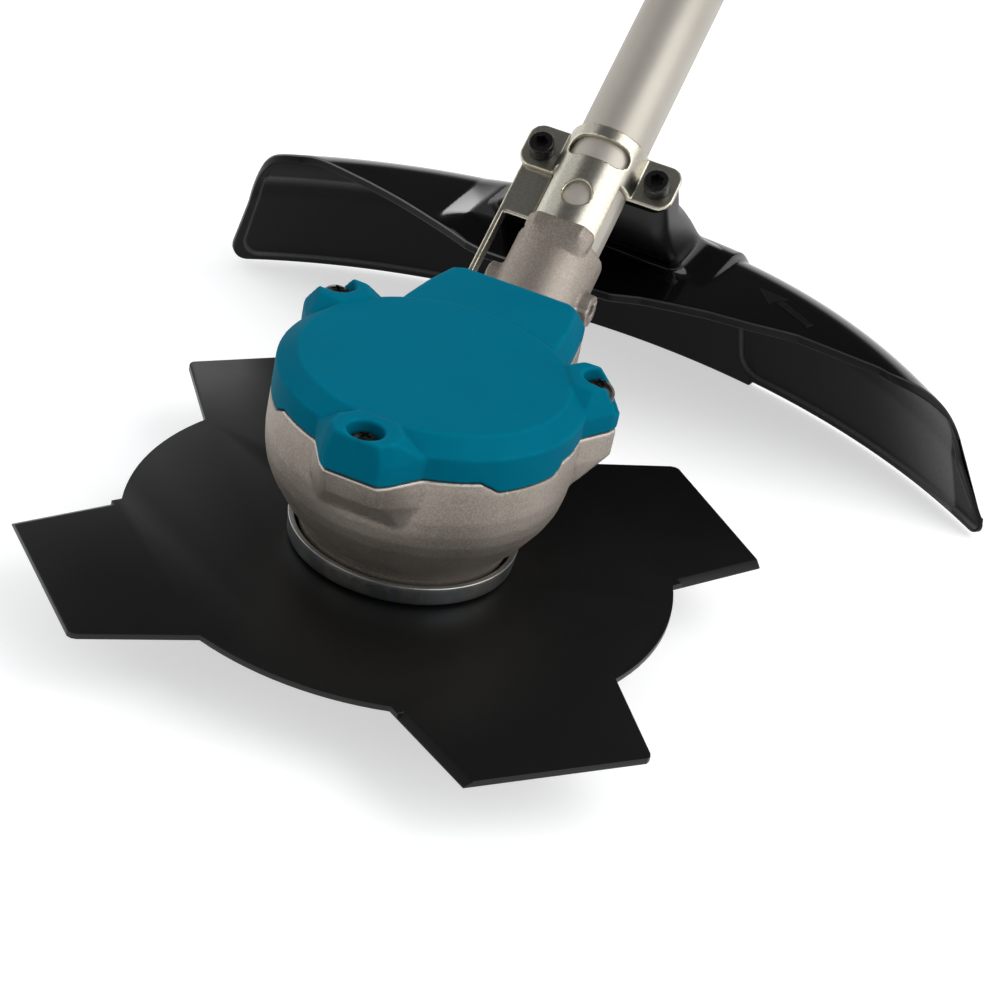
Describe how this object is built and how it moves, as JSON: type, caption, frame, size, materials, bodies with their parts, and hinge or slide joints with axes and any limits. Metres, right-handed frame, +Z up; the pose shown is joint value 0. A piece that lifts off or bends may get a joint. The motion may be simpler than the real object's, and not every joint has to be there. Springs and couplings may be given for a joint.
{
  "type": "brush cutter head",
  "caption": "Brush cutter head: a flat toothed blade under a direct-drive motor in a cast housing, on a slanted pipe with a curved guard clamped to it.",
  "frame": {"origin": "centre of the glide cup's flat underside, on the spindle axis; the lower edge of the guard meets the same plane", "axes": "+Z up along the spindle; +Y is the way the pipe leans away; +X to the right, seen from the blade's side"},
  "size_m": [0.2943, 0.3744, 0.2117],
  "materials": {
    "blade_black": "matte black coating with ground cutting edges",
    "zinc": "bright zinc-plated sheet",
    "zinc_dull": "zinc plating, bluish and rubbed",
    "steel": "turned steel",
    "dark_steel": "dark oxide",
    "cast_aluminium": "sand-cast grey with a fine grain",
    "cover_teal": "teal, fine matte texture",
    "guard_black": "moulded black, glossy outside",
    "pipe_aluminium": "satin drawn tube",
    "black_screw": "black screws",
    "rubber_black": "black rubber",
    "copper": "enamelled copper",
    "stator_steel": "stacked laminations",
    "insulator": "pale moulded insulation",
    "board_green": "circuit board",
    "brass": "plain brass",
    "black_plastic": "black insulating plastic"
  },
  "bodies": {
    "head": {"lower_outer_race": "steel", "upper_outer_race": "steel", "lower_bearing_balls": "steel", "upper_bearing_balls": "steel", "lower_bearing_cage": "brass", "upper_bearing_cage": "brass", "spindle_seal": "rubber_black", "bearing_circlip": "dark_steel", "motor_housing": "cast_aluminium", "motor_cover": "cover_teal", "cover_gasket": "rubber_black", "cover_screws": "black_screw", "stator_core": "stator_steel", "stator_insulators": "insulator", "stator_windings": "copper", "sensor_board": "board_green", "board_screws": "steel", "motor_cable": "rubber_black", "cable_grommet": "rubber_black", "shaft_pipe": "pipe_aluminium", "pipe_lock_screws": "black_screw", "guard": "guard_black", "guard_clamp": "zinc", "guard_bracket": "zinc", "clamp_bolts": "black_screw", "clamp_nuts": "steel", "connector_body": "black_plastic", "connector_pins": "brass"},
    "rotor": {"blade": "blade_black", "receiver_washer": "zinc_dull", "clamp_washer": "zinc_dull", "glide_cup": "zinc_dull", "blade_nut": "dark_steel", "spindle": "steel", "rotor_bell": "dark_steel", "rotor_magnets": "dark_steel", "rotor_nut": "steel", "lower_inner_race": "steel", "upper_inner_race": "steel"}
  },
  "joints": [
    {"name": "blade_spin", "type": "hinge", "parent": "head", "child": "rotor", "pos_m": [0, 0, 0.024], "axis": [0, 0, 1], "continuous": true}
  ]
}
